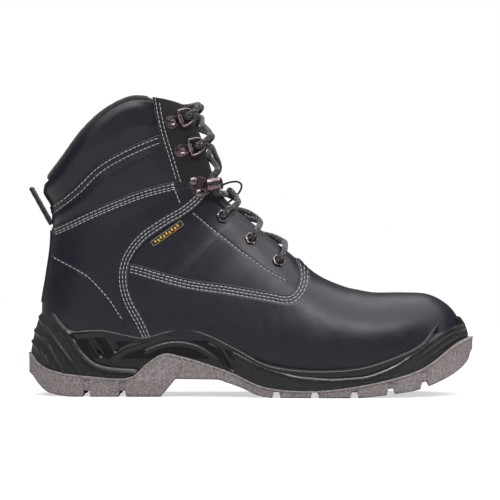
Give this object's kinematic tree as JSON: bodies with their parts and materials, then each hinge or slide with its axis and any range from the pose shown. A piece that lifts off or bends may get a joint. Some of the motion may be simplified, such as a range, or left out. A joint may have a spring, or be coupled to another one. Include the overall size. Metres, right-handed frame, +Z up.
{
  "type": "steel toe work boot",
  "caption": "Laced ankle-high work boot with a steel toe cap, padded collar, riveted lacing hardware and a lugged two-part sole.",
  "frame": {"origin": "on the ground, at the middle of the boot's length and width", "axes": "+X to the toe, +Z up, -Y to the outer side of the foot"},
  "size_m": [0.3054, 0.1027, 0.2052],
  "materials": {
    "outsole_rubber": "matte",
    "midsole_pu": "satin",
    "bare_steel": "brushed",
    "fibre_board": "matte",
    "footbed_fabric": "matte",
    "foam": "matte",
    "mesh_lining": "matte",
    "smooth_leather": "satin",
    "nubuck": "matte",
    "binding_fabric": "matte",
    "webbing": "matte",
    "label_fabric": "matte",
    "gunmetal": "gloss",
    "lace_braid": "matte"
  },
  "bodies": {
    "boot": {"outsole": "outsole_rubber", "midsole": "midsole_pu", "steel_midsole_plate": "bare_steel", "insole_board": "fibre_board", "footbed": "footbed_fabric", "steel_toe_cap": "bare_steel", "toe_cap_edge_pad": "foam", "heel_counter": "fibre_board", "collar_foam": "foam", "vamp_lining": "mesh_lining", "quarter_lining_outer": "mesh_lining", "quarter_lining_inner": "mesh_lining", "vamp": "smooth_leather", "collar_panel_outer": "smooth_leather", "collar_panel_inner": "smooth_leather", "ankle_panel_outer": "smooth_leather", "ankle_panel_inner": "smooth_leather", "rear_quarter_outer": "smooth_leather", "rear_quarter_inner": "smooth_leather", "front_quarter_outer": "smooth_leather", "front_quarter_inner": "smooth_leather", "facing_outer": "nubuck", "facing_inner": "nubuck", "backstay": "smooth_leather", "topline_binding": "binding_fabric", "side_label": "label_fabric", "tongue_face": "nubuck", "tongue_padding": "foam", "tongue_lining": "mesh_lining", "lace_keeper": "webbing", "tongue_gusset_outer": "mesh_lining", "eyelet_1_outer": "gunmetal", "eyelet_2_outer": "gunmetal", "eyelet_3_outer": "gunmetal", "lace_lock_outer": "gunmetal", "lock_rivet_1_outer": "gunmetal", "lock_rivet_2_outer": "gunmetal", "ring_clip_1_outer": "gunmetal", "ring_rivet_1_outer": "gunmetal", "ring_clip_2_outer": "gunmetal", "ring_rivet_2_outer": "gunmetal", "tongue_gusset_inner": "mesh_lining", "eyelet_1_inner": "gunmetal", "eyelet_2_inner": "gunmetal", "eyelet_3_inner": "gunmetal", "lace_lock_inner": "gunmetal", "lock_rivet_1_inner": "gunmetal", "lock_rivet_2_inner": "gunmetal", "ring_clip_1_inner": "gunmetal", "ring_rivet_1_inner": "gunmetal", "ring_clip_2_inner": "gunmetal", "ring_rivet_2_inner": "gunmetal", "lace": "lace_braid"},
    "ring_1_outer": {"d_ring_1_outer": "gunmetal"},
    "ring_1_inner": {"d_ring_1_inner": "gunmetal"},
    "ring_2_outer": {"d_ring_2_outer": "gunmetal"},
    "ring_2_inner": {"d_ring_2_inner": "gunmetal"},
    "tab": {"pull_tab": "webbing"}
  },
  "joints": [
    {"name": "ring_1_outer_hinge", "type": "hinge", "parent": "boot", "child": "ring_1_outer", "pos_m": [-0.04055, -0.03255, 0.16981], "axis": [-0.267, -0.1327, 0.9545], "range_deg": [-5, 5]},
    {"name": "ring_1_inner_hinge", "type": "hinge", "parent": "boot", "child": "ring_1_inner", "pos_m": [-0.04055, 0.03215, 0.1698], "axis": [0.267, -0.1327, -0.9545], "range_deg": [-5, 5]},
    {"name": "ring_2_outer_hinge", "type": "hinge", "parent": "boot", "child": "ring_2_outer", "pos_m": [-0.0472, -0.03463, 0.18943], "axis": [-0.3403, -0.0912, 0.9359], "range_deg": [-5, 5]},
    {"name": "ring_2_inner_hinge", "type": "hinge", "parent": "boot", "child": "ring_2_inner", "pos_m": [-0.0472, 0.03423, 0.18942], "axis": [0.3403, -0.0912, -0.9359], "range_deg": [-5, 5]},
    {"name": "pull_tab_hinge", "type": "hinge", "parent": "boot", "child": "tab", "pos_m": [-0.1382, 0, 0.1185], "axis": [0, 1, 0], "range_deg": [-80, 4], "stiffness_Nm_per_rad": 0.02}
  ]
}
